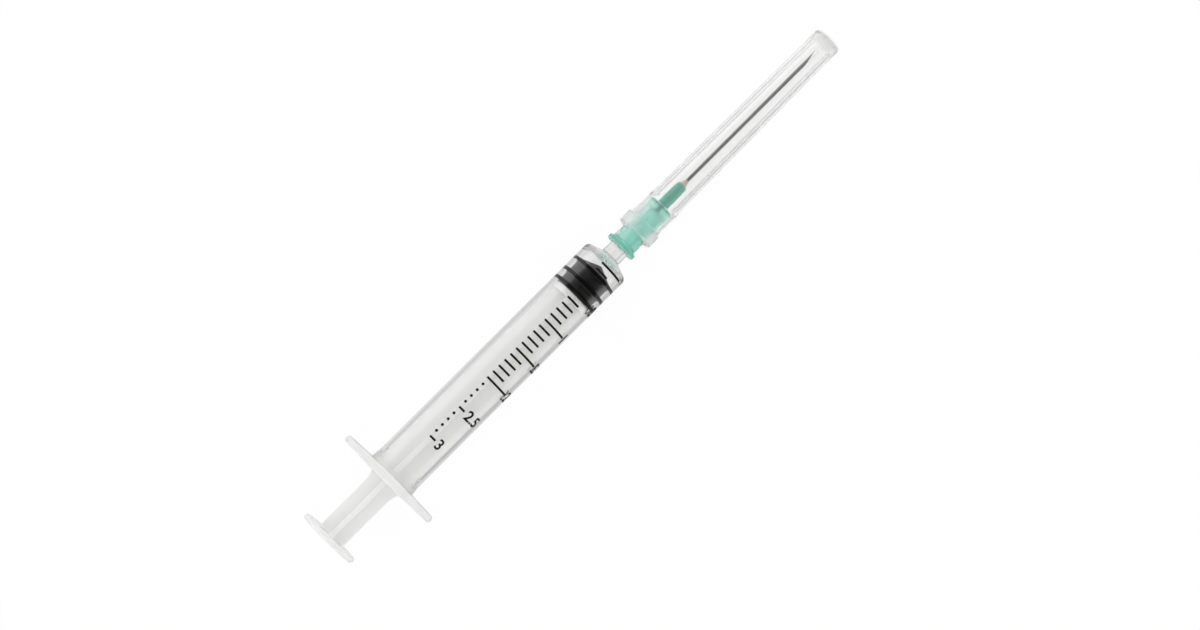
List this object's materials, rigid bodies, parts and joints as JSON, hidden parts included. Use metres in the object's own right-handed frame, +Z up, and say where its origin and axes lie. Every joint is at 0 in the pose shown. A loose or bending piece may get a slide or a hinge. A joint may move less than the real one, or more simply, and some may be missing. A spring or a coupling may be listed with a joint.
{
  "type": "disposable syringe with needle",
  "caption": "Clear luer-slip syringe with a ribbed rubber stopper, cross-ribbed plunger rod and finger flange, and a green-hubbed hypodermic needle under a clear sheath.",
  "frame": {"origin": "on the surface that the finger flange rests on, below the middle of the syringe's overall length", "axes": "+X along the syringe's axis towards the needle, +Z up towards the printed scale, flange wings along Y"},
  "size_m": [0.143, 0.0234, 0.0136],
  "materials": {
    "clear_barrel": "clear moulded polypropylene, glossy",
    "scale_ink": "printed black ink",
    "black_rubber": "moulded, lightly oiled with silicone",
    "milky_rod": "milky moulded polypropylene, semi-gloss",
    "green_hub": "tinted translucent polypropylene, glossy",
    "needle_steel": "drawn and polished stainless steel",
    "cured_adhesive": "cured clear adhesive",
    "clear_sheath": "clear moulded polypropylene, semi-gloss"
  },
  "bodies": {
    "barrel_body": {"barrel": "clear_barrel", "scale_marks": "scale_ink"},
    "stopper_body": {"stopper": "black_rubber"},
    "rod_body": {"plunger_rod": "milky_rod"},
    "needle_body": {"needle_hub": "green_hub", "needle_tube": "needle_steel", "adhesive": "cured_adhesive"},
    "sheath_body": {"needle_sheath": "clear_sheath"}
  },
  "joints": [
    {"name": "plunger_slide", "type": "slide", "parent": "barrel_body", "child": "stopper_body", "axis": [1, 0, 0], "range_m": [-0.047, 0.002]},
    {"name": "rod_turn", "type": "hinge", "parent": "stopper_body", "child": "rod_body", "pos_m": [-0.002, 0, 0.0068], "axis": [1, 0, 0], "continuous": true},
    {"name": "needle_pull", "type": "slide", "parent": "barrel_body", "child": "needle_body", "axis": [1, 0, 0], "range_m": [0, 0.012]},
    {"name": "sheath_pull", "type": "slide", "parent": "needle_body", "child": "sheath_body", "axis": [1, 0, 0], "range_m": [0, 0.058]}
  ]
}
